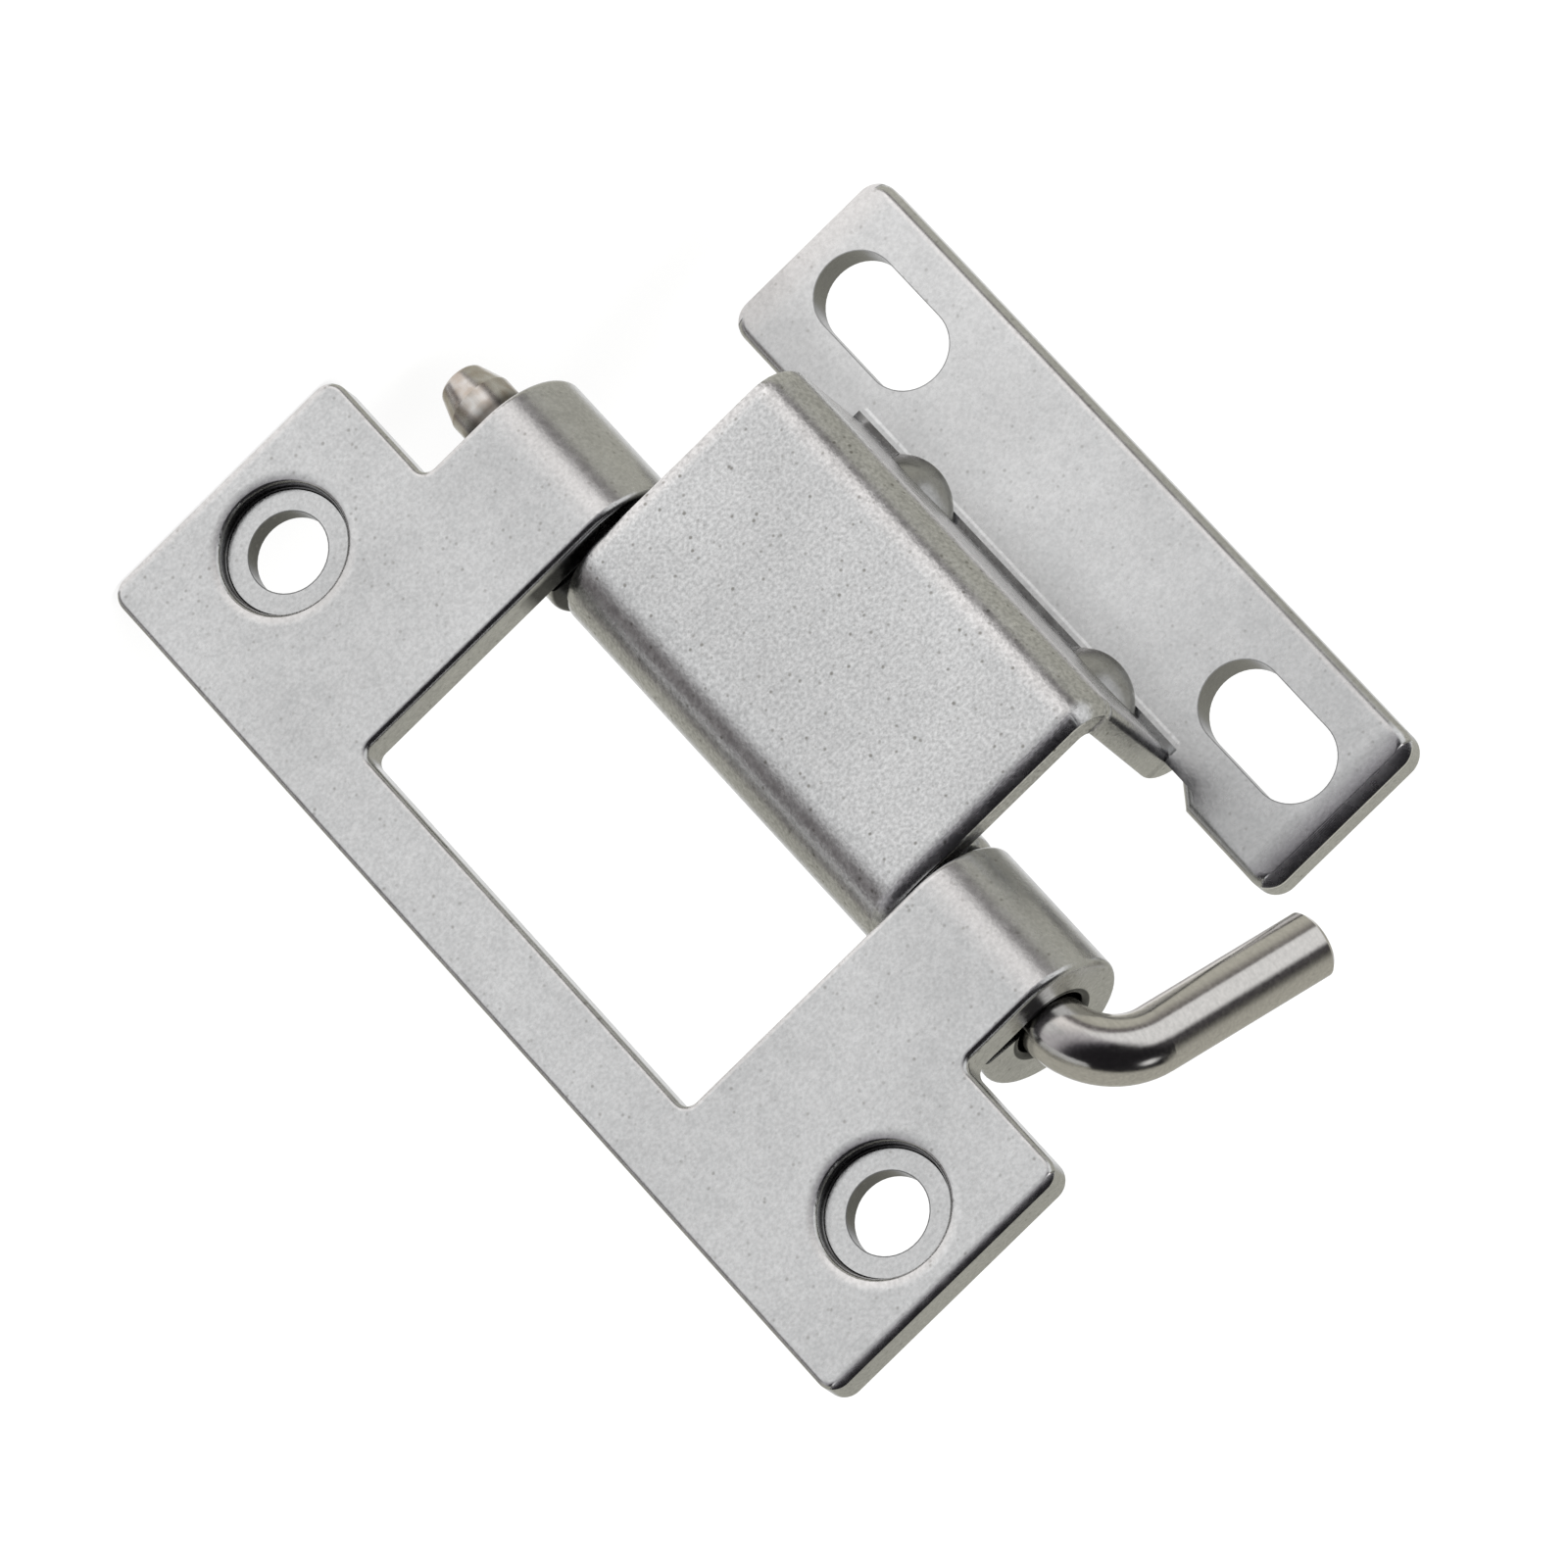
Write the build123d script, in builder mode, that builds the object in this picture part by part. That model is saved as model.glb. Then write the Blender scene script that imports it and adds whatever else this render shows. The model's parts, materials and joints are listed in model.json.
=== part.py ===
"""Cranked cabinet hinge: two folded steel leaves on a loose pin with a bent handle.

Millimetres. X runs from the door leaf to the frame leaf, Y from the front to the back, Z along the pin to
its handle. The origin is midway between the frame leaf's two screw holes, on the leaf's back face.
"""
import os
from math import asin, cos, degrees, radians, sin

from build123d import *

# Pin: a bent rod
pin_d = 5.0
tip_z = -36.5
point_length = 2.4
point_drop = 0.8  # how much smaller the tip is in radius
point_round = 0.5
handle_z = 35.4  # middle of the handle
handle_reach = 19.1  # pin axis to the handle's end
handle_bend_r = 5.0  # at the middle of the rod
handle_hang = 31.0  # degrees behind the bridge
handle_chamfer = 0.3

# Rolled eyes of both leaves
eye_play = 0.25  # pin to eye, on the radius
tail_gap = 0.15  # end of a roll to its own sheet
tail_shear = 23.0  # degrees that the inside of a roll runs on past the outside

# Frame leaf: each reach is measured from the pin axis
frame_t = 3.0
frame_length = 82.4
frame_reach = 27.85  # outer edge
window_reach = 22.05  # strip beside the window
hole_reach = 16.6  # screw holes
step_reach = 5.9  # stepped ends
window_length = 36.7
ear_length = 12.0
hole_inset = 7.2  # leaf's end to the middle of a hole
hole_d = 6.0
seat_d = 9.5
seat_depth = 1.0
seat_edge_r = 0.3
frame_corner_r = 1.5
window_corner_r = 0.9
frame_edge_r = 0.5
frame_back_r = 0.35

# Door leaf: each reach is measured from the pin axis
door_t = 2.5
bridge_play = 0.5  # bridge to each ear, along the pin
set_back = 15.0  # frame leaf's back face to the flange's back face
wall_reach = 18.05  # front face of the wall
slot_reach = 24.0
flange_reach = 30.95  # outer edge
bend_r = 0.8  # inside of the upper bend
root_r = 3.0  # outside of the lower bend
groove_width = 0.85
groove_depth = 0.4
flange_length = 60.7
flange_corner_r = 1.8
wing_reach = 16.05  # inner edge of the wings past the bend
relief_land = 1.6  # bridge end to the sloping edge of the wing
relief_run = 1.9  # sloping edge, along the pin
relief_depth = 1.3  # sloping edge, across the wing
slot_inset = 8.7  # flange's end to the middle of a slot
slot_width = 6.3
slot_length = 12.1
gusset_spacing = 20.4
gusset_width = 7.0
gusset_foot = 1.7  # run-out of each gusset on the flange
strip_edge_r = 0.9
strip_back_r = 0.3
flange_edge_r = 0.9

# Worked out from the above
eye_bore_r = pin_d / 2 + eye_play
frame_eye_r = eye_bore_r + frame_t
door_eye_r = eye_bore_r + door_t
frame_tail = degrees(asin((eye_bore_r - tail_gap) / frame_eye_r))
door_tail = degrees(asin((eye_bore_r - tail_gap) / door_eye_r))
hole_z = frame_length / 2 - hole_inset
ear_start = window_length / 2
ear_end = ear_start + ear_length
bridge_end = ear_start - bridge_play
relief_start = bridge_end + relief_land
relief_end = relief_start + relief_run
flange_back = eye_bore_r - set_back
flange_front = flange_back + door_t
wall_back = wall_reach - door_t
flange_join = wall_back + root_r
slot_z = flange_length / 2 - slot_inset
gusset_behind = (gusset_width**2 / 4 - gusset_foot**2) / (2 * gusset_foot)
gusset_r = (2 * gusset_behind**2 + gusset_width**2 / 4) ** 0.5
gussets = [(wall_reach - gusset_behind, flange_front - gusset_behind, z)
           for z in (-gusset_spacing / 2, gusset_spacing / 2)]
hang = radians(handle_hang)

# Cross section and handle plane with the pin axis as origin, and the backs of the two flat sheets
section = Plane(origin=(-hole_reach, eye_bore_r, 0), x_dir=(-1, 0, 0), z_dir=(0, 0, 1))
handle_plane = Plane(origin=section.origin, x_dir=(-cos(hang), sin(hang), 0),
                     z_dir=(sin(hang), cos(hang), 0))
frame_sheet = Plane(origin=(-hole_reach, 0, 0), x_dir=(1, 0, 0), z_dir=(0, -1, 0))
flange_sheet = Plane(origin=(-hole_reach, set_back, 0), x_dir=(-1, 0, 0), z_dir=(0, -1, 0))

os.makedirs("parts", exist_ok=True)

with BuildPart() as frame_leaf:
    # Flat sheet with stepped ends, ears and a window open to the pin
    with BuildSketch(frame_sheet) as frame_outline:
        with Locations(((frame_reach + step_reach) / 2, 0)):
            Rectangle(frame_reach - step_reach, frame_length)
        with Locations((frame_reach / 2, 0)):
            Rectangle(frame_reach, 2 * ear_end)
        with Locations((window_reach / 2, 0)):
            Rectangle(window_reach, window_length, mode=Mode.SUBTRACT)
        outer = frame_outline.vertices().group_by(Axis.Y)
        fillet(outer[0] + outer[-1], radius=frame_corner_r)
        inner = frame_outline.vertices().filter_by_position(Axis.Y, -ear_end - frame_t, ear_end + frame_t)
        fillet(inner.filter_by_position(Axis.X, step_reach - frame_t, frame_reach), radius=window_corner_r)
    extrude(amount=frame_t)

    # Each ear rolls back round the pin until its end meets the sheet
    for start in (-ear_end, ear_start):
        with BuildSketch(section.offset(start)):
            with BuildLine():
                roll = CenterArc((0, 0), frame_eye_r, 90, -270 - frame_tail)
                bore = CenterArc((0, 0), eye_bore_r, 90, -270 - frame_tail - tail_shear)
                Line(roll @ 0, bore @ 0)
                Line(roll @ 1, bore @ 1)
            make_face()
        extrude(amount=ear_length)

    # Screw holes with round seats for the heads
    with BuildSketch(frame_sheet):
        with Locations((hole_reach, -hole_z), (hole_reach, hole_z)):
            Circle(hole_d / 2)
    extrude(amount=frame_t, mode=Mode.SUBTRACT)
    with BuildSketch(frame_sheet.offset(frame_t)):
        with Locations((hole_reach, -hole_z), (hole_reach, hole_z)):
            Circle(seat_d / 2)
    extrude(amount=-seat_depth, mode=Mode.SUBTRACT)
    seats = frame_leaf.edges().filter_by(lambda e: e.geom_type == GeomType.CIRCLE and e.radius == seat_d / 2)
    fillet(seats.group_by(Axis.Y)[0], radius=seat_edge_r)

    # Tumbled edges: the front with the outside of both rolls, then the back
    front = frame_leaf.faces().sort_by(Axis.Y)[0].edges()
    rolls = frame_leaf.edges().filter_by(GeomType.CIRCLE)
    rolls = rolls.filter_by(lambda e: e.radius > eye_bore_r and e.center().Y > 0)
    front = front.filter_by_position(Axis.X, -hole_reach + frame_edge_r, frame_reach)
    fillet(front + rolls, radius=frame_edge_r)
    back = frame_leaf.faces().filter_by(frame_sheet).sort_by(SortBy.AREA)[-2:].sort_by(Axis.Y)[-1].edges()
    fillet(back.filter_by_position(Axis.X, -hole_reach + frame_edge_r, frame_reach), radius=frame_back_r)
frame_leaf.part.label = "frame_leaf"
export_step(frame_leaf.part, "parts/frame_leaf.step")

with BuildPart() as door_leaf:
    # Pressed gussets: what two balls leave standing in the corner of the lower bend
    with Locations(section):
        with Locations(*gussets):
            Sphere(gusset_r)
    with BuildSketch(section.offset(-bridge_end)) as corner:
        with Locations((wall_back, flange_back)):
            Rectangle(2 * gusset_r, 2 * gusset_r, align=(Align.MIN, Align.MIN))
        fillet(corner.vertices().group_by(Axis.X)[0].sort_by(Axis.Y)[0], radius=root_r)
    extrude(amount=2 * bridge_end, mode=Mode.INTERSECT)

    # Rolled eye, bridge, wall and the root of the flange, as one folded strip
    with BuildSketch(section.offset(-bridge_end)):
        with BuildLine():
            roll = CenterArc((0, 0), door_eye_r, 90, 270 + door_tail)
            bore = CenterArc((0, 0), eye_bore_r, 90, 270 + door_tail + tail_shear)
            Line(roll @ 1, bore @ 1)
            bend_out = CenterArc((wall_back - bend_r, eye_bore_r - bend_r), bend_r + door_t, 0, 90)
            bend_in = CenterArc((wall_back - bend_r, eye_bore_r - bend_r), bend_r, 0, 90)
            Line(roll @ 0, bend_out @ 1)
            Line(bore @ 0, bend_in @ 1)
            root = CenterArc((flange_join, flange_back + root_r), root_r, 180, 90)
            Line(bend_in @ 0, root @ 0)
            Polyline(bend_out @ 0, (wall_reach, flange_front - groove_depth),
                     (wall_reach + groove_width, flange_front), (flange_join, flange_front), root @ 1)
        make_face()
    extrude(amount=2 * bridge_end)

    # Tumbled ends of the strip: each fillet runs on from the bridge round the eye and the bends
    across = door_leaf.edges().filter_by(Axis.X)
    fillet(across.group_by(Axis.Y)[0], radius=strip_edge_r)
    across = door_leaf.edges().filter_by(Axis.X)
    fillet(across.filter_by_position(Axis.Y, -strip_back_r, strip_back_r), radius=strip_back_r)

    # Flange with a wing past each end of the bend
    with BuildSketch(flange_sheet) as flange_outline:
        with BuildLine():
            wing = Polyline((flange_reach, 0), (flange_reach, flange_length / 2),
                            (wing_reach, flange_length / 2), (wing_reach, relief_end),
                            (wing_reach + relief_depth, relief_start),
                            (wing_reach + relief_depth, bridge_end),
                            (flange_join, bridge_end), (flange_join, 0))
            mirror(wing, about=Plane.XZ)
        make_face()
        corners = flange_outline.vertices().group_by(Axis.Y)
        fillet(corners[0] + corners[-1], radius=flange_corner_r)
    extrude(amount=door_t)

    # Tumbled edges of the flange's front, but not where it runs into the bend
    front = door_leaf.faces().filter_by(flange_sheet).sort_by(SortBy.AREA)[-3:].sort_by(Axis.Y)[-2].edges()
    bend = front.filter_by_position(Axis.X, -hole_reach - slot_reach, -hole_reach)
    bend = bend.filter_by_position(Axis.Z, -bridge_end - flange_edge_r, bridge_end + flange_edge_r)
    fillet(front - bend, radius=flange_edge_r)

    # Slots for adjustment along the pin, and the hollow behind each gusset
    with BuildSketch(flange_sheet):
        with Locations((slot_reach, -slot_z), (slot_reach, slot_z)):
            SlotOverall(slot_length, slot_width, rotation=90)
    extrude(amount=door_t, mode=Mode.SUBTRACT)
    with Locations(section):
        with Locations(*gussets):
            Sphere(gusset_r - door_t, mode=Mode.SUBTRACT)
door_leaf.part.label = "door_leaf"
export_step(door_leaf.part, "parts/door_leaf.step")

with BuildPart() as hinge_pin:
    # One rod: straight shank, bend and handle
    with BuildLine(handle_plane) as rod:
        shank = Line((0, tip_z), (0, handle_z - handle_bend_r))
        bend = CenterArc((handle_bend_r, handle_z - handle_bend_r), handle_bend_r, 180, -90)
        Line(bend @ 1, (handle_reach, handle_z))
    with BuildSketch(Plane(origin=rod.line @ 0, z_dir=rod.line % 0)):
        Circle(pin_d / 2)
    sweep()

    # Pointed tip that finds the eyes, and a broken edge on the handle
    tip = hinge_pin.faces().sort_by(Axis.Z)[0]
    chamfer(tip.edges(), length=point_drop, length2=point_length, reference=tip)
    fillet(hinge_pin.faces().sort_by(Axis.Z)[0].edges(), radius=point_round)
    chamfer(hinge_pin.faces().sort_by(Axis.X)[0].edges(), length=handle_chamfer)
hinge_pin.part.label = "hinge_pin"
export_step(hinge_pin.part, "parts/hinge_pin.step")
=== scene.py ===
"""Finishes, floor, light and camera for a cabinet hinge: two satin nickel leaves on a polished pin."""
import json
from math import cos, pi, radians, sin

import bpy
from bpy.props import FloatProperty, FloatVectorProperty, PointerProperty
from mathutils import Matrix, Vector


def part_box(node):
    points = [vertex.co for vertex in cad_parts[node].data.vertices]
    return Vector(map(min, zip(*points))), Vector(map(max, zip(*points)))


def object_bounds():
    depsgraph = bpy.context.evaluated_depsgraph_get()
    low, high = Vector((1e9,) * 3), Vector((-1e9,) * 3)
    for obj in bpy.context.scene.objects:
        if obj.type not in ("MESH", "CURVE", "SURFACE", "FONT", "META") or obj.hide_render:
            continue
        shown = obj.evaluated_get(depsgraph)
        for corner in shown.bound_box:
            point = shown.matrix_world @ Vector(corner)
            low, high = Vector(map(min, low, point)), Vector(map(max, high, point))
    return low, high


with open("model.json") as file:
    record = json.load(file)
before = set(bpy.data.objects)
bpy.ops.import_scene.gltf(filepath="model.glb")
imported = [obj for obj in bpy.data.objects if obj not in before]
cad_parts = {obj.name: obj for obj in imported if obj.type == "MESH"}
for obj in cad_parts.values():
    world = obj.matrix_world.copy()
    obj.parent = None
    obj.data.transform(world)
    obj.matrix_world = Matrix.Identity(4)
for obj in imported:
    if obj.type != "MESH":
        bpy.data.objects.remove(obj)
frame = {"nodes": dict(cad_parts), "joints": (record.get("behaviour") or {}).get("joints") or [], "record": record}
CAD_BOX = [list(corner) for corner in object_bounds()]

# Places that the frame gives
MM = 0.001
FRAME_LOW, FRAME_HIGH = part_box("frame_leaf")
DOOR_LOW, DOOR_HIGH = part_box("door_leaf")
JOINTS = {joint["name"]: joint for joint in frame["joints"]}
MOUNTS = {mount["name"]: mount for mount in frame["record"]["mounts"]}
SCREWS = MOUNTS["frame_screws"]["dims"]
SLOTS = MOUNTS["door_slots"]["dims"]
PIN_X, PIN_Y, _ = JOINTS["door_swing"]["pos_m"]
FRAME_FRONT = FRAME_LOW.y
FRAME_HALF = FRAME_HIGH.z
HOLE_Z = SCREWS["spacing_y_mm"] * MM / 2
HOLE_R = SCREWS["hole_r_mm"] * MM
BRIDGE_FRONT = DOOR_LOW.y
FLANGE_HALF = DOOR_HIGH.z
SLOT_X = MOUNTS["door_slots"]["pos_m"][0]
SLOT_Z = SLOTS["spacing_y_mm"] * MM / 2
SLOT_R = SLOTS["hole_r_mm"] * MM
SLOT_HALF = SLOTS["slot_length_mm"] * MM / 2 - SLOT_R  # half of a slot's straight sides

# Sizes and places of the solids that the frame doesn't give
BORE_R = 0.00275
FRAME_R = 0.0005  # rounding of the frame leaf's ends
WINDOW_HALF = 0.01835
SEAT_R = 0.00475
WINDOW_PLAY = 0.0005  # from the window's ends to the bridge
SHEET = 0.0025  # thickness of the door leaf
BEND_INSIDE = 0.0008
FLANGE_FRONT = DOOR_HIGH.y - SHEET
EYE_R = BORE_R + SHEET  # outside of the door leaf's eye
BEND_R = BEND_INSIDE + SHEET  # outside of the bend from the bridge to the wall
BRIDGE_HALF = WINDOW_HALF - WINDOW_PLAY
WALL_X = -0.03465  # front of the door leaf's wall
END_R = 0.0009  # rounding of the door leaf's ends
GROOVE_X = -0.0355  # far edge of the groove
GUSSET_Z = 0.0102
GUSSET_HALF = 0.0035

# Bands of the leaves and the pin, as middle, half width and soft border; all but the seat rim carry painted shade
# or painted highlights
SEAT_WALL = (SEAT_R, 0.0001, 0.0001)
SEAT_DEPTH = (FRAME_FRONT + 0.0006, 0.0004, 0.0001)
SEAT_RIM = (FRAME_FRONT, 0.0012, 0.0001)
HOLE_WALL = (0.0, HOLE_R + 0.00005, 0.00005)
EAR_BORE = (0.0, BORE_R + 0.0005, 0.0001)
EAR_ENDS = (0.0, WINDOW_HALF + 0.0001, 0.0002)
EYE_BORE = (0.0, BORE_R + 0.0002, 0.0001)
SLOT_WALL = (0.0, SLOT_R + 0.00005, 0.00005)
GUSSET_WIDTH = (GUSSET_Z, GUSSET_HALF, 0.0001)
GUSSET_RUN = (WALL_X, 0.0016, 0.0004)
GUSSET_DEPTH = (FLANGE_FRONT - 0.001, 0.0009, 0.0001)
GROOVE_EDGE = (GROOVE_X - 0.00008, 0.00006, 0.0001)
GROOVE_LENGTH = (0.0, BRIDGE_HALF - 0.0003, 0.0003)
GROOVE_FACE = (FLANGE_FRONT, 0.0001, 0.0001)
FOOT_FACE = (0.0, 0.0003, 0.0001)
PIN_RING = (-0.0315, 0.0007, 0.0008)  # painted shade ring where the pin's tip leaves its eye

# Runs, as where a change starts and where it ends; the ears' runs and FOOT_RUN fade painted shade in, and SET_BACK
# also brings in the flange's painted light
EAR_DEPTH = (FRAME_FRONT + 0.0004, FRAME_FRONT + 0.001)
EAR_SIDE = (PIN_X + 0.0075, PIN_X + 0.006)
SEAT_BORDER = (SEAT_R - 0.0002, SEAT_R - 0.0001)
SET_BACK = (0.0, FLANGE_FRONT)  # from the bridge to the flange
FLANGE_START = (0.005, 0.006)  # halfway down the wall, in Y
FOOT_RUN = (GROOVE_X - 0.004, GROOVE_X)
TIP_RUN = (0.0, -0.03)

# Painted shade and painted light of those places, as shares of the clean metal, and how much of each wall's
# painted shade shows
DARKEST_PAINTED_SHADE = 0.12
SEAT_SHADE_SHARE = 0.8
HOLE_SHADE_SHARE = 0.85
SLOT_SHADE_SHARE = 0.62
GUSSET_SHADE_SHARE = 0.4
FOOT_PAINTED_SHADE = 0.82  # painted shade on the flange beside the groove
# Painted light that makes the whole flange brighter than the bridge
FLANGE_PAINTED_LIGHT = 1.06
# Painted shade of the ring round the pin where it leaves its eye
RING_PAINTED_SHADE = 0.32
PAINTED_HIGHLIGHT = 0.35  # painted highlights on the groove's edge and on the door leaf's rims

# Skin of the metal
NOISE_MIDDLE = (0.3, 0.7)
FRAME_GRAIN = 0.13
BRIDGE_GRAIN = 0.25
FLANGE_GRAIN = 0.1
GRAIN_HEIGHT = 0.00006
GRAIN_TONES = (-0.8, 0.8)
CLOUD_TONES = (0.92, 1.08)
MOTTLE_TONES = (0.95, 1.05)
PIT_EDGE = (0.22, 0.08)  # share of the distance from pit to pit
PIT_PATCHES = (0.62, 0.4)  # mottle in which pits lie
PIT_SHARE = 5.0  # times the grain
DULL_SPREAD = 0.04
LINE_SIZE = 0.001
LINE_STRETCH = (4.0, 4.0, 0.4)
LINE_TONES = (0.95, 1.05)
POLISH_SIZE = 0.0003
POLISH_HEIGHT = 0.0000015
POLISH_TONES = (0.94, 1.06)
POLISH_DULL = (0.85, 1.15)
WEAR_SIZE = 0.0012
WEAR_PATCHES = (0.35, 0.6)

# Rolled ends, with depths as shares of the edge's rounding
END_SLOPE = 0.476  # slope at which the frame leaf and the bridge end
FLANGE_SLOPE = 0.34
EDGE_BORDER = 0.0001
EDGE_BAND = (0.0, 1.05, 0.05)
RIM_HIGHLIGHT_BAND = (0.9, 0.08, 0.05)
LIFT_DEPTH = 0.8
LIFT_START = 0.84
LIFT_GROWTH = 0.12

# Room that the metal shows, by direction: heights and sides are those of a vector of length 1
FRONT_TONES = (
    (0.0, (0.53, 0.515, 0.535)), (0.1, (0.34, 0.325, 0.345)), (0.22, (0.06, 0.055, 0.065)),
    (0.34, (0.015, 0.014, 0.016)))
SIDE_TONE = (0.06, 0.055, 0.06)
SIDE_HEIGHTS = (0.58, 0.72)  # top of the side panel, and start of the dark above it
LEFT_SIDE = (-0.42, -0.58)
LOW_HEIGHTS = (-0.55, -0.1)
LOW_TONES = (1.2, 0.6)
UNDER_HEIGHTS = (-0.5, -0.8)
UNDER_WIDTH = (0.07, 0.2, 0.15)  # middle, half and soft border
UNDER_STOPS = (0.72, 0.85)
BACK_START = (0.4, 0.6)
BACK_SPREAD = 0.8
OVERHEAD = (0.985, 0.998)
HORIZON = (-0.1, 0.0)
HORIZON_DROP = 0.25  # how much lower the horizon lies to the sides

# Floor, lamps and camera
FLOOR_HALF = 4.0
FLOOR_WHITE = 0.8  # share of plain white in the floor that the camera sees
LAMP_SIZE = 1.0
KEY_PLACE = (-0.4, -0.6, 1.2)
KEY_POWER = 26.0
FILL_PLACE = (0.7, 0.5, 0.9)
FILL_POWER = 14.0
AIM = (-0.01605, -0.003, 0.0)
AIM_RIGHT = 0.00268
AIM_DOWN = 0.00496
SENSOR = 36.0
CLIP_START = 0.01

bl_info = {
    "name": "Cabinet Hinge",
    "version": (1, 0, 0),
    "blender": (4, 5, 0),
    "location": "View3D > Sidebar > Hinge",
    "description": "Gives a packed cabinet hinge its metal finishes, a floor, soft light and a camera",
    "category": "Object",
}


class SatinSettings(bpy.types.PropertyGroup):
    """Tumbled satin nickel of the two leaves."""
    colour: FloatVectorProperty(
        name="Colour", description="Nickel in clean places", subtype="COLOR", size=3, min=0.0, max=1.0,
        default=(0.635, 0.64, 0.643))
    speck_colour: FloatVectorProperty(
        name="Speck colour", description="Pits that tumbling leaves", subtype="COLOR", size=3, min=0.0,
        max=1.0, default=(0.3, 0.295, 0.28))
    cloud_size: FloatProperty(
        name="Cloud size", description="Width of the pale and dull patches", unit="LENGTH", default=0.012)
    mottle_size: FloatProperty(
        name="Mottle size", description="Width of one blotch of the tumbled skin", unit="LENGTH",
        default=0.0012)
    grain_size: FloatProperty(
        name="Grain size", description="Width of one grain of the tumbled skin", unit="LENGTH",
        default=0.00028)
    speck_size: FloatProperty(
        name="Speck size", description="Distance from pit to pit", unit="LENGTH", default=0.0008)
    roughness: FloatProperty(
        name="Roughness", description="How dull the skin is", subtype="FACTOR", min=0.0, max=1.0,
        default=0.26)
    frame_run: FloatProperty(
        name="Frame run", description="How far in from its ends the frame leaf starts to dip", unit="LENGTH",
        default=0.0008)
    bridge_run: FloatProperty(
        name="Bridge run", description="How far in from its ends the bridge starts to dip", unit="LENGTH",
        default=0.0014)
    flange_run: FloatProperty(
        name="Flange run", description="How far in from its ends the flange starts to dip", unit="LENGTH",
        default=0.0029)
    flange_bow: FloatProperty(
        name="Flange bow", description="Radius of the flange's slight bow along its length", unit="LENGTH",
        default=0.5)
    seat_run: FloatProperty(
        name="Seat run", description="How far out from a head seat the frame leaf starts to dip",
        unit="LENGTH", default=0.001)
    seat_radius: FloatProperty(
        name="Seat radius", description="Radius of that dip", unit="LENGTH", default=0.0022)


class PolishSettings(bpy.types.PropertyGroup):
    """Polished nickel of the pin."""
    colour: FloatVectorProperty(
        name="Colour", description="Polished nickel", subtype="COLOR", size=3, min=0.0, max=1.0,
        default=(0.68, 0.665, 0.645))
    roughness: FloatProperty(
        name="Roughness", description="How dull the polish is", subtype="FACTOR", min=0.0, max=1.0,
        default=0.17)
    tip_colour: FloatVectorProperty(
        name="Tip colour", description="Worn nickel of the tip", subtype="COLOR", size=3, min=0.0, max=1.0,
        default=(0.5, 0.45, 0.4))
    tip_roughness: FloatProperty(
        name="Tip roughness", description="How dull the tip is", subtype="FACTOR", min=0.0, max=1.0,
        default=0.26)


class StageSettings(bpy.types.PropertyGroup):
    """Floor, light and camera."""
    floor_colour: FloatVectorProperty(
        name="Floor colour", description="Pale floor", subtype="COLOR", size=3, min=0.0, max=1.0,
        default=(0.92, 0.92, 0.92))
    panel_colour: FloatVectorProperty(
        name="Panel colour", description="Pale panels round the hinge, as the metal shows them",
        subtype="COLOR", size=3, min=0.0, max=1.0, default=(0.9, 0.9, 0.9))
    glow_colour: FloatVectorProperty(
        name="Glow colour", description="Brightest part of the front panel",
        subtype="COLOR", size=3, min=0.0, max=1.5, default=(1.14, 1.1, 1.08))
    wall_colour: FloatVectorProperty(
        name="Wall colour", description="Dull walls beside and behind the hinge, as the metal shows them",
        subtype="COLOR", size=3, min=0.0, max=1.0, default=(0.46, 0.45, 0.395))
    gap_colour: FloatVectorProperty(
        name="Gap colour", description="Dark gaps between the panels and the walls",
        subtype="COLOR", size=3, min=0.0, max=1.0, default=(0.17, 0.155, 0.155))
    tilt: FloatProperty(
        name="Tilt", description="Camera's height above the leaf's own normal", subtype="ANGLE",
        default=radians(25.0))
    swing: FloatProperty(
        name="Swing", description="Camera's turn towards the door leaf", subtype="ANGLE",
        default=radians(4.34))
    roll: FloatProperty(
        name="Roll", description="How far the pin dips to the right of the picture", subtype="ANGLE",
        default=radians(47.43))
    distance: FloatProperty(
        name="Distance", description="Camera to the hinge", unit="LENGTH", default=1.065)
    lens: FloatProperty(
        name="Lens", description="Focal length in millimetres", default=355.4)


def add(tree, kind, settings=(), **sockets):
    """Adds a node, sets its properties, and sets each named socket to a value or links it to another node's.

    A socket is named by its own name, or by its number after an underscore.
    """
    node = tree.nodes.new(kind)
    for name, value in dict(settings).items():
        setattr(node, name, value)
    for name, value in sockets.items():
        socket = node.inputs[int(name[1:])] if name[1:].isdigit() else node.inputs[name.replace("_", " ")]
        if isinstance(value, bpy.types.NodeSocket):
            tree.links.new(value, socket)
        else:
            socket.default_value = value
    return node


def new_material(name):
    """A material with an empty node tree and its output, as (material, tree, output)."""
    material = bpy.data.materials.new(name)
    material.use_nodes = True
    material.node_tree.nodes.clear()
    return material, material.node_tree, material.node_tree.nodes.new("ShaderNodeOutputMaterial")


def ramp(tree, fac, *stops):
    """A colour ramp through (position, colour) stops."""
    node = add(tree, "ShaderNodeValToRGB", Fac=fac)
    elements = node.color_ramp.elements
    elements.remove(elements[1])
    for number, (place, colour) in enumerate(stops):
        element = elements[0] if number == 0 else elements.new(place)
        element.position = place
        element.color = (*colour, 1)
    return node.outputs["Color"]


def blend(tree, fac, first, second):
    """A mix from the first colour to the second."""
    return add(tree, "ShaderNodeMix", {"data_type": "RGBA"}, Factor=fac, _6=first, _7=second).outputs[2]


def noise(tree, place, size, detail):
    """A noise whose features are about as wide as size, round 0.5."""
    return add(tree, "ShaderNodeTexNoise", Vector=place, Scale=1 / size, Detail=detail).outputs["Fac"]


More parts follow.
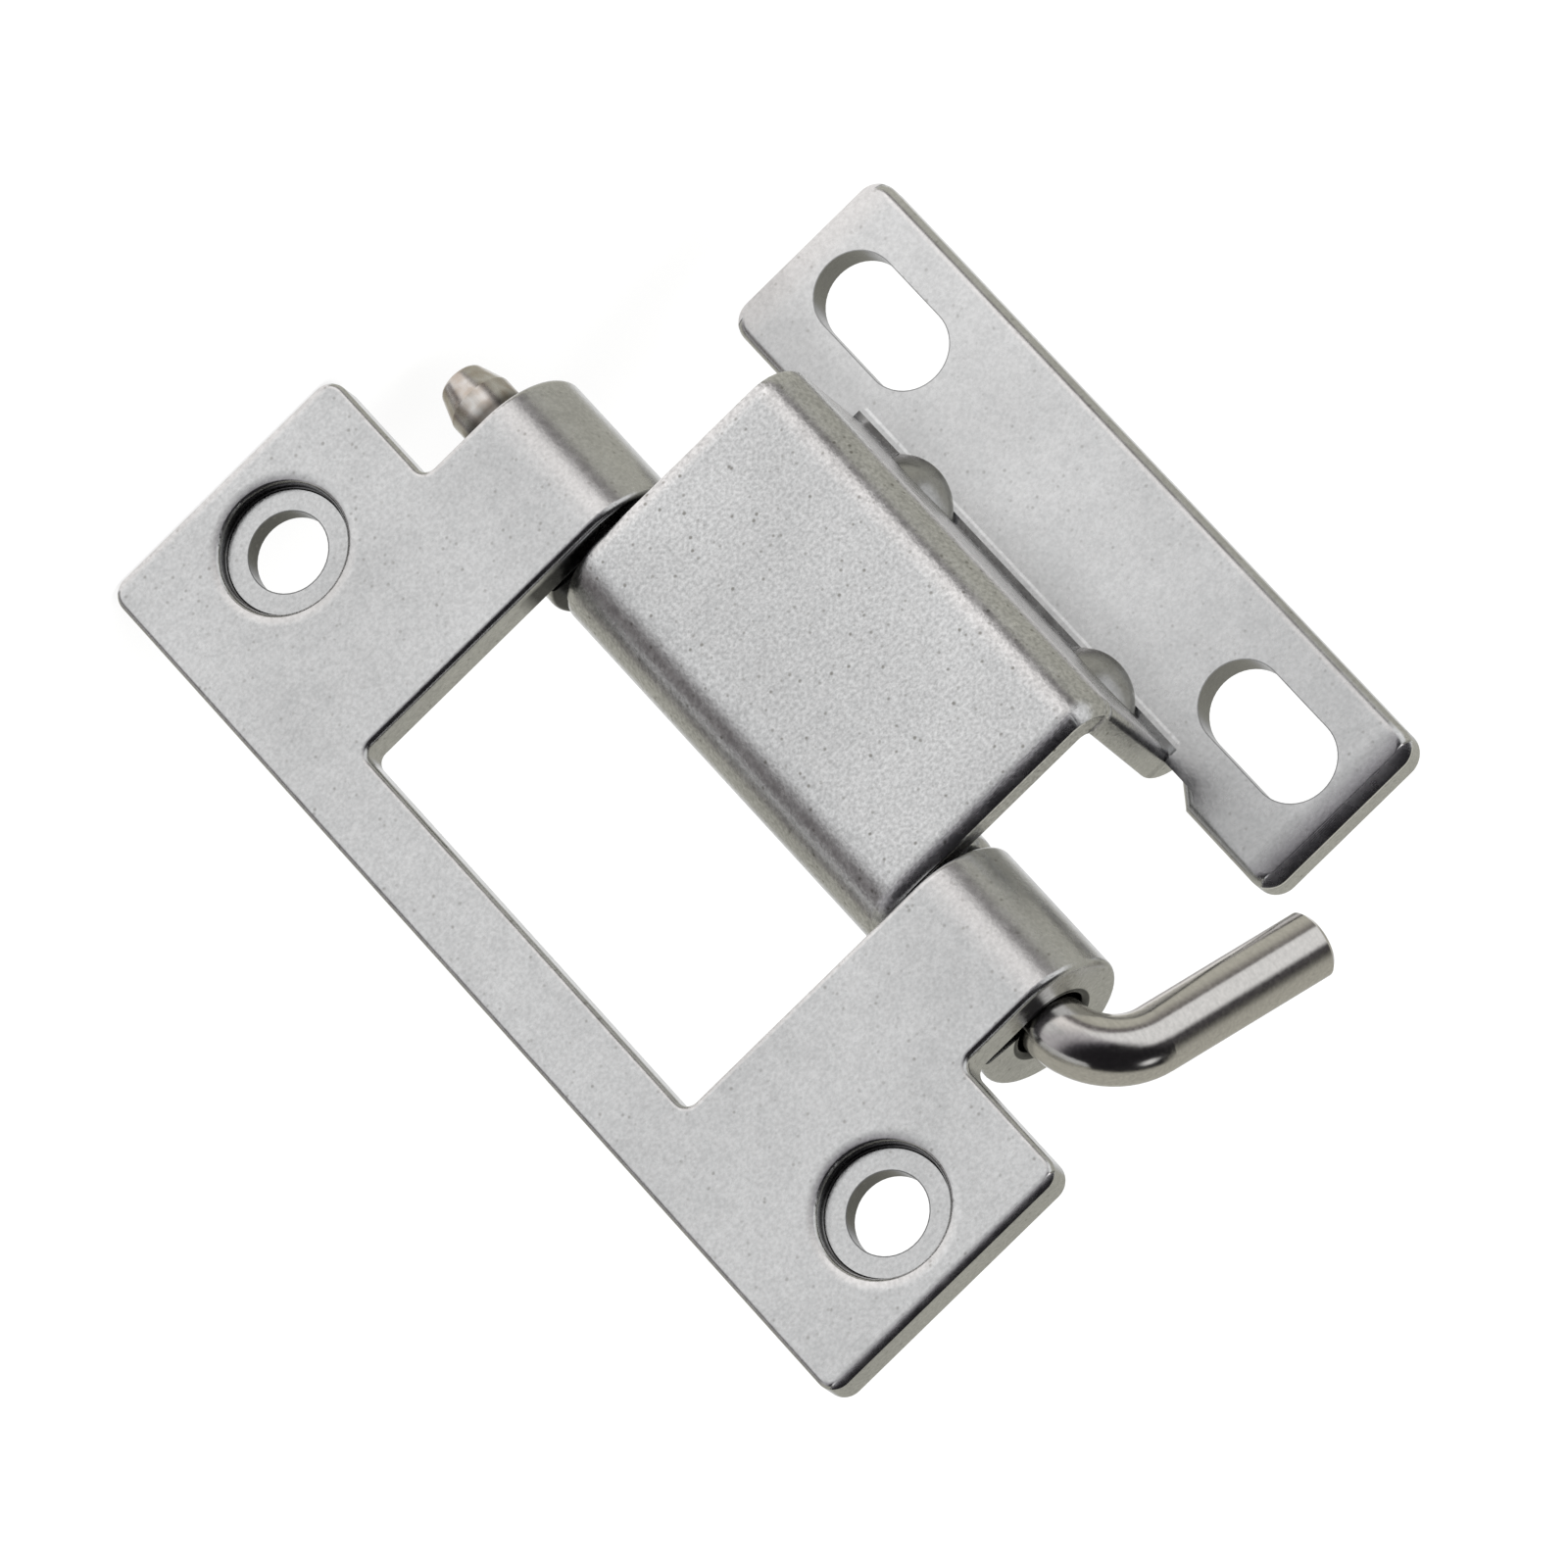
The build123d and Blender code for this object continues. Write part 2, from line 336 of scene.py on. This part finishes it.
def rise(tree, value, low, high, bottom=0.0, top=1.0):
    """Goes from bottom to top while value goes from low to high."""
    return add(tree, "ShaderNodeMapRange", Value=value, _1=low, _2=high, _3=bottom, _4=top).outputs["Result"]


def spread(tree, fac, low, high):
    """Stretches the middle of a noise to the range from low to high."""
    return rise(tree, fac, *NOISE_MIDDLE, low, high)


def fade(tree, share, start, end):
    """Goes from start to end while share goes from 0 to 1."""
    return rise(tree, share, 0.0, 1.0, start, end)


def maths(tree, operation, first, *others):
    """A math node for each value after the first, or one node for an operation on a single value."""
    for other in others or (0.0,):
        first = add(tree, "ShaderNodeMath", {"operation": operation}, _0=first, _1=other).outputs[0]
    return first


def times(tree, *values):
    """Product of the values."""
    return maths(tree, "MULTIPLY", *values)


def plus(tree, *values):
    """Sum of the values."""
    return maths(tree, "ADD", *values)


def minus(tree, first, second):
    """The first value less the second."""
    return maths(tree, "SUBTRACT", first, second)


def near(tree, value, middle, half, soft):
    """1 where value lies within half of middle, and 0 past a soft border."""
    away = maths(tree, "ABSOLUTE", minus(tree, value, middle))
    return rise(tree, away, half, half + soft, 1.0, 0.0)


def reach(tree, first, second):
    """Length of the vector from two components."""
    return maths(tree, "SQRT", plus(tree, times(tree, first, first), times(tree, second, second)))


def pin_reach(tree, x, y):
    """Distance from the pin axis."""
    return reach(tree, minus(tree, x, PIN_X), minus(tree, y, PIN_Y))


def axes_of(tree):
    """Object coordinates, as the whole vector and as X, Y and Z."""
    place = add(tree, "ShaderNodeTexCoord").outputs["Object"]
    axes = add(tree, "ShaderNodeSeparateXYZ", Vector=place).outputs
    return place, axes["X"], axes["Y"], axes["Z"]


def metal(tree, output, skin, height, dull):
    """Metal of one colour, bump height and roughness, linked to the output."""
    bump = add(tree, "ShaderNodeBump", Strength=1.0, Distance=1.0, Height=height).outputs["Normal"]
    shader = add(tree, "ShaderNodeBsdfPrincipled", Metallic=1.0, Base_Color=skin, Normal=bump,
                 Roughness=dull)
    tree.links.new(shader.outputs["BSDF"], output.inputs["Surface"])


def satin(name, settings, leaf):
    """Tumbled nickel: clouds, mottle and grain in its tone, dark pits, and what leaf adds for its places.

    leaf gives the depth of the grain, a factor for the tone that carries painted shade and painted light, and a
    height for the bump.
    """
    material, tree, output = new_material(name)
    place, x, y, z = axes_of(tree)
    grain, shade, height = leaf(tree, settings, x, y, maths(tree, "ABSOLUTE", z))
    fine = noise(tree, place, settings.grain_size, detail=2.0)
    mottle = noise(tree, place, settings.mottle_size, detail=4.0)
    clouds = noise(tree, place, settings.cloud_size, detail=3.0)
    tone = times(tree, shade, spread(tree, clouds, *CLOUD_TONES), spread(tree, mottle, *MOTTLE_TONES))
    tone = times(tree, tone, plus(tree, 1.0, times(tree, grain, spread(tree, fine, *GRAIN_TONES))))
    clean = add(tree, "ShaderNodeHueSaturation", Color=(*settings.colour, 1), Value=tone).outputs["Color"]
    cells = add(tree, "ShaderNodeTexVoronoi", Vector=place, Scale=1 / settings.speck_size, Randomness=1.0)
    pits = rise(tree, mottle, *PIT_PATCHES, 0.0, times(tree, grain, PIT_SHARE))
    pits = times(tree, pits, rise(tree, cells.outputs["Distance"], *PIT_EDGE))
    skin = blend(tree, pits, clean, (*settings.speck_colour, 1))
    height = plus(tree, times(tree, fine, grain, GRAIN_HEIGHT), height)
    dull = spread(tree, mottle, settings.roughness - DULL_SPREAD, settings.roughness + DULL_SPREAD)
    metal(tree, output, skin, height, dull)
    return material


def rolled_end(tree, end, depth, length, slope, radius):
    """Height that rolls a leaf's end over, and where a painted highlight lies along its rim.

    The front falls away as a parabola over the last length, down to the slope. On the rounded edge the
    height grows with the depth, as a parabola too, so that the edge goes on at about that slope.
    """
    run = maths(tree, "MAXIMUM", plus(tree, end, length), 0.0)
    dip = maths(tree, "DIVIDE", times(tree, run, run, -0.5), length)
    depth = maths(tree, "DIVIDE", depth, radius)
    edge = times(tree, rise(tree, end, -radius - EDGE_BORDER, -radius), near(tree, depth, *EDGE_BAND))
    share = rise(tree, depth, 0.0, LIFT_DEPTH, 0.0, LIFT_DEPTH)
    lift = times(tree, share, plus(tree, times(tree, share, LIFT_GROWTH), LIFT_START), edge, radius)
    # Painted highlight along the rounded edge's rim
    rim = times(tree, edge, near(tree, depth, *RIM_HIGHLIGHT_BAND))
    return plus(tree, times(tree, dip, slope), lift), rim


def frame_places(tree, settings, x, y, z):
    """Painted shade on the seat, hole and bore walls and on the ear ends at the window, and a dip round each seat.
    """
    hole = reach(tree, x, minus(tree, z, HOLE_Z))
    seat = times(tree, near(tree, hole, *SEAT_WALL), near(tree, y, *SEAT_DEPTH), SEAT_SHADE_SHARE)
    inside = times(tree, near(tree, hole, *HOLE_WALL), HOLE_SHADE_SHARE)
    bore = near(tree, pin_reach(tree, x, y), *EAR_BORE)
    ears = times(tree, near(tree, z, *EAR_ENDS), rise(tree, y, *EAR_DEPTH), rise(tree, x, *EAR_SIDE))
    # Share of painted shade: the deepest of the seats, holes, bores and ear ends
    dark = maths(tree, "MAXIMUM", seat, ears, bore, inside)
    run = maths(tree, "MAXIMUM", minus(tree, SEAT_R + settings.seat_run, hole), 0.0)
    dip = times(tree, run, run, -0.5 / settings.seat_radius, rise(tree, hole, *SEAT_BORDER),
                near(tree, y, *SEAT_RIM))
    fall, _ = rolled_end(tree, minus(tree, z, FRAME_HALF), minus(tree, y, FRAME_FRONT), settings.frame_run,
                         END_SLOPE, FRAME_R)
    return FRAME_GRAIN, fade(tree, dark, 1.0, DARKEST_PAINTED_SHADE), plus(tree, dip, fall)


def door_depth(tree, x, y):
    """Depth below the door leaf's front: of the flange, or of the bridge with its bend and its eye.

    The bridge's is a radius less the distance from the middle of the bend or of the eye, whichever is less.
    """
    bend = reach(tree, maths(tree, "MINIMUM", minus(tree, x, WALL_X + BEND_R), 0.0),
                 minus(tree, y, BRIDGE_FRONT + BEND_R))
    eye = reach(tree, maths(tree, "MAXIMUM", minus(tree, x, PIN_X), 0.0), minus(tree, y, PIN_Y))
    bridge = maths(tree, "MINIMUM", minus(tree, BEND_R, bend), minus(tree, EYE_R, eye))
    return fade(tree, rise(tree, y, *FLANGE_START), bridge, minus(tree, y, FLANGE_FRONT))


def door_places(tree, settings, x, y, z):
    """Heavy grain on the bridge, painted shade and painted highlights in its places, a painted brighter flange,
    and ends that dip.
    """
    back = rise(tree, y, *SET_BACK)
    depth = door_depth(tree, x, y)
    along = minus(tree, maths(tree, "ABSOLUTE", minus(tree, z, SLOT_Z)), SLOT_HALF)
    slot = reach(tree, minus(tree, x, SLOT_X), maths(tree, "MAXIMUM", along, 0.0))
    inside = times(tree, near(tree, slot, *SLOT_WALL), SLOT_SHADE_SHARE)
    bore = near(tree, pin_reach(tree, x, y), *EYE_BORE)
    gusset = times(tree, near(tree, z, *GUSSET_WIDTH), near(tree, x, *GUSSET_RUN),
                   near(tree, y, *GUSSET_DEPTH), GUSSET_SHADE_SHARE)
    # Share of painted shade in the eye's bore, on the slot walls and on the gussets
    dark = maths(tree, "MAXIMUM", bore, inside, gusset)
    # Painted highlight along the groove's far edge
    groove = times(tree, near(tree, x, *GROOVE_EDGE), near(tree, z, *GROOVE_LENGTH),
                   near(tree, y, *GROOVE_FACE))
    # Painted shade on the flange beside the groove, under the wall
    foot_shade = times(tree, near(tree, depth, *FOOT_FACE), rise(tree, y, *FLANGE_START),
                 rise(tree, x, *FOOT_RUN))
    shade = plus(tree, fade(tree, dark, 1.0, DARKEST_PAINTED_SHADE), times(tree, groove, PAINTED_HIGHLIGHT))
    # Painted shade beside the groove, and painted light over the whole flange
    shade = times(tree, shade, fade(tree, foot_shade, 1.0, FOOT_PAINTED_SHADE), fade(tree, back, 1.0, FLANGE_PAINTED_LIGHT))
    end = minus(tree, z, fade(tree, back, BRIDGE_HALF, FLANGE_HALF))
    length = fade(tree, back, settings.bridge_run, settings.flange_run)
    fall, rim = rolled_end(tree, end, depth, length, fade(tree, back, END_SLOPE, FLANGE_SLOPE), END_R)
    bow = times(tree, z, z, back, -0.5 / settings.flange_bow)
    grain = fade(tree, back, BRIDGE_GRAIN, FLANGE_GRAIN)
    # The rims get a painted highlight
    return grain, plus(tree, shade, times(tree, rim, PAINTED_HIGHLIGHT)), plus(tree, fall, bow)


def polished(name, settings):
    """Polished nickel with lines along the rod, a duller tip and a painted shade ring where it leaves its eye."""
    material, tree, output = new_material(name)
    place, _, _, along = axes_of(tree)
    stretched = add(tree, "ShaderNodeMapping", Vector=place, Scale=LINE_STRETCH).outputs["Vector"]
    lines = noise(tree, stretched, LINE_SIZE, detail=3.0)
    grain = noise(tree, place, POLISH_SIZE, detail=2.0)
    # Painted shade where the pin leaves its eye
    ring = fade(tree, near(tree, along, *PIN_RING), 1.0, RING_PAINTED_SHADE)
    tone = times(tree, spread(tree, lines, *LINE_TONES), spread(tree, grain, *POLISH_TONES), ring)
    tip = rise(tree, along, *TIP_RUN)
    worn = times(tree, tip, rise(tree, noise(tree, place, WEAR_SIZE, detail=3.0), *WEAR_PATCHES))
    skin = blend(tree, worn, (*settings.colour, 1), (*settings.tip_colour, 1))
    skin = add(tree, "ShaderNodeHueSaturation", Color=skin, Value=tone).outputs["Color"]
    dull = fade(tree, tip, settings.roughness, settings.tip_roughness)
    dull = times(tree, dull, spread(tree, grain, *POLISH_DULL))
    metal(tree, output, skin, times(tree, grain, POLISH_HEIGHT), dull)
    return material


def dress(node, material):
    """Puts one material on a node of the frame."""
    slots = frame["nodes"][node].data.materials
    slots.clear()
    slots.append(material)


class HINGE_OT_frame_leaf(bpy.types.Operator):
    """Give the frame leaf its satin nickel"""
    bl_idname = "hinge.frame_leaf"
    bl_label = "Frame Leaf"

    def execute(self, context):
        dress("frame_leaf", satin("frame_nickel", context.scene.hinge_satin, frame_places))
        return {"FINISHED"}


class HINGE_OT_door_leaf(bpy.types.Operator):
    """Give the door leaf its satin nickel, with more pits on the bridge"""
    bl_idname = "hinge.door_leaf"
    bl_label = "Door Leaf"

    def execute(self, context):
        dress("door_leaf", satin("door_nickel", context.scene.hinge_satin, door_places))
        return {"FINISHED"}


class HINGE_OT_pin(bpy.types.Operator):
    """Give the pin its polished nickel"""
    bl_idname = "hinge.pin"
    bl_label = "Pin"

    def execute(self, context):
        dress("hinge_pin", polished("pin_nickel", context.scene.hinge_polish))
        return {"FINISHED"}


def lay_floor(settings):
    """A wide floor under the hinge, white to the camera, with a soft shadow.

    The metal shows the room in its place.
    """
    low = CAD_BOX[0][2]
    sides = ((-1, -1), (1, -1), (1, 1), (-1, 1))
    mesh = bpy.data.meshes.new("floor")
    mesh.from_pydata([(x * FLOOR_HALF, y * FLOOR_HALF, low) for x, y in sides], [], [(0, 1, 2, 3)])
    floor = bpy.data.objects.new("floor", mesh)
    bpy.context.scene.collection.objects.link(floor)
    material, tree, output = new_material("floor_white")
    rays = add(tree, "ShaderNodeLightPath").outputs
    seen = maths(tree, "MAXIMUM", rays["Is Camera Ray"], rays["Is Glossy Ray"], rays["Is Transmission Ray"])
    dull = add(tree, "ShaderNodeBsdfDiffuse", Color=(*settings.floor_colour, 1)).outputs["BSDF"]
    white = add(tree, "ShaderNodeEmission", Strength=1.0).outputs["Emission"]
    mixed = add(tree, "ShaderNodeMixShader", Fac=times(tree, seen, FLOOR_WHITE), _1=dull, _2=white)
    tree.links.new(mixed.outputs["Shader"], output.inputs["Surface"])
    mesh.materials.append(material)
    floor.visible_glossy = False


def hang_light(name, place, power):
    """A square soft box that faces the origin and lights the floor, and that the metal doesn't show."""
    data = bpy.data.lights.new(name, "AREA")
    data.size = LAMP_SIZE
    data.energy = power
    light = bpy.data.objects.new(name, data)
    light.location = place
    light.rotation_euler = (-Vector(place)).to_track_quat("-Z", "Y").to_euler()
    light.visible_glossy = False
    bpy.context.scene.collection.objects.link(light)


def set_world(settings):
    """The room that the metal shows: pale panels, dull walls, dark gaps and a dark ceiling."""
    world = bpy.data.worlds.new("room")
    world.use_nodes = True
    tree = world.node_tree
    direction = add(tree, "ShaderNodeTexCoord").outputs["Generated"]
    way = add(tree, "ShaderNodeSeparateXYZ", Vector=direction).outputs
    side, depth, height = way["X"], way["Y"], way["Z"]
    wide = maths(tree, "ABSOLUTE", side)
    panel, glow = settings.panel_colour, settings.glow_colour
    wall, gap = settings.wall_colour, settings.gap_colour
    # Below the horizon, by degrees to the right of the front
    ring = (
        (-180, panel), (-160, panel), (-140, wall), (-65, wall), (-57, gap), (-48, gap),
        (-35, glow), (-20, glow), (0, panel), (34, panel), (56, gap), (76, gap), (84, panel),
        (91, gap), (101, gap), (107, wall), (140, wall), (160, panel))
    turn = rise(tree, maths(tree, "ARCTAN2", side, times(tree, depth, -1.0)), -pi, pi)
    low = ramp(tree, turn, *((0.5 + degrees / 360, colour) for degrees, colour in ring))
    low = add(tree, "ShaderNodeVectorMath", {"operation": "SCALE"}, _0=low,
              Scale=rise(tree, height, *LOW_HEIGHTS, *LOW_TONES)).outputs[0]
    # Straight under the hinge
    below = ramp(tree, rise(tree, depth, -1.0, 1.0), *zip(UNDER_STOPS, (glow, gap)))
    under = times(tree, rise(tree, height, *UNDER_HEIGHTS), near(tree, side, *UNDER_WIDTH))
    low = blend(tree, under, low, below)
    # Above the horizon
    aside = ramp(tree, height, (0.0, panel), *zip(SIDE_HEIGHTS, (panel, SIDE_TONE)))
    high = blend(tree, rise(tree, side, *LEFT_SIDE), ramp(tree, height, *FRONT_TONES), aside)
    behind = plus(tree, depth, times(tree, wide, BACK_SPREAD))
    high = blend(tree, rise(tree, behind, *BACK_START), high, (*wall, 1))
    high = blend(tree, rise(tree, height, *OVERHEAD), high, (*panel, 1))
    level = plus(tree, height, times(tree, wide, HORIZON_DROP))
    colour = blend(tree, rise(tree, level, *HORIZON), low, high)
    tree.links.new(colour, tree.nodes["Background"].inputs["Color"])
    tree.nodes["Background"].inputs["Strength"].default_value = 1.0
    bpy.context.scene.world = world


def set_camera(settings):
    """A long lens that looks at the leaves from above and rolls until the pin dips to the right."""
    away = Vector((-sin(settings.swing) * cos(settings.tilt), -cos(settings.swing) * cos(settings.tilt),
                   sin(settings.tilt)))
    pin = Vector((0, 0, 1))
    pin = (pin - away * pin.dot(away)).normalized()
    across = away.cross(pin)
    right = pin * cos(settings.roll) + across * sin(settings.roll)
    up = across * cos(settings.roll) - pin * sin(settings.roll)
    target = Vector(AIM) + right * AIM_RIGHT - up * AIM_DOWN
    camera = bpy.data.objects.new("camera", bpy.data.cameras.new("camera"))
    camera.matrix_world = Matrix((right, up, away)).transposed().to_4x4()
    camera.location = target + away * settings.distance
    camera.data.lens = settings.lens
    camera.data.sensor_width = SENSOR
    camera.data.clip_start = CLIP_START
    bpy.context.scene.collection.objects.link(camera)
    bpy.context.scene.camera = camera


class HINGE_OT_stage(bpy.types.Operator):
    """Lay the floor, hang the lights and set the camera"""
    bl_idname = "hinge.stage"
    bl_label = "Stage"

    def execute(self, context):
        settings = context.scene.hinge_stage
        lay_floor(settings)
        set_world(settings)
        hang_light("key", KEY_PLACE, KEY_POWER)
        hang_light("fill", FILL_PLACE, FILL_POWER)
        set_camera(settings)
        context.scene.view_settings.view_transform = "Standard"
        return {"FINISHED"}


class HINGE_PT_panel(bpy.types.Panel):
    """Sidebar list of the hinge's pieces"""
    bl_idname = "HINGE_PT_panel"
    bl_label = "Cabinet Hinge"
    bl_space_type = "VIEW_3D"
    bl_region_type = "UI"
    bl_category = "Hinge"

    def draw(self, context):
        for operator in OPERATORS:
            self.layout.operator(operator.bl_idname)
        for settings in (context.scene.hinge_satin, context.scene.hinge_polish, context.scene.hinge_stage):
            for name in settings.__annotations__:
                self.layout.prop(settings, name)


SETTINGS = (SatinSettings, PolishSettings, StageSettings)
OPERATORS = (HINGE_OT_frame_leaf, HINGE_OT_door_leaf, HINGE_OT_pin, HINGE_OT_stage)


def register():
    for group in SETTINGS + OPERATORS + (HINGE_PT_panel,):
        bpy.utils.register_class(group)
    bpy.types.Scene.hinge_satin = PointerProperty(type=SatinSettings)
    bpy.types.Scene.hinge_polish = PointerProperty(type=PolishSettings)
    bpy.types.Scene.hinge_stage = PointerProperty(type=StageSettings)


def unregister():
    del bpy.types.Scene.hinge_satin
    del bpy.types.Scene.hinge_polish
    del bpy.types.Scene.hinge_stage
    for group in SETTINGS + OPERATORS + (HINGE_PT_panel,):
        bpy.utils.unregister_class(group)


def main():
    """Registers the add-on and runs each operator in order."""
    register()
    bpy.ops.hinge.frame_leaf()
    bpy.ops.hinge.door_leaf()
    bpy.ops.hinge.pin()
    bpy.ops.hinge.stage()


if __name__ == "__main__":
    main()
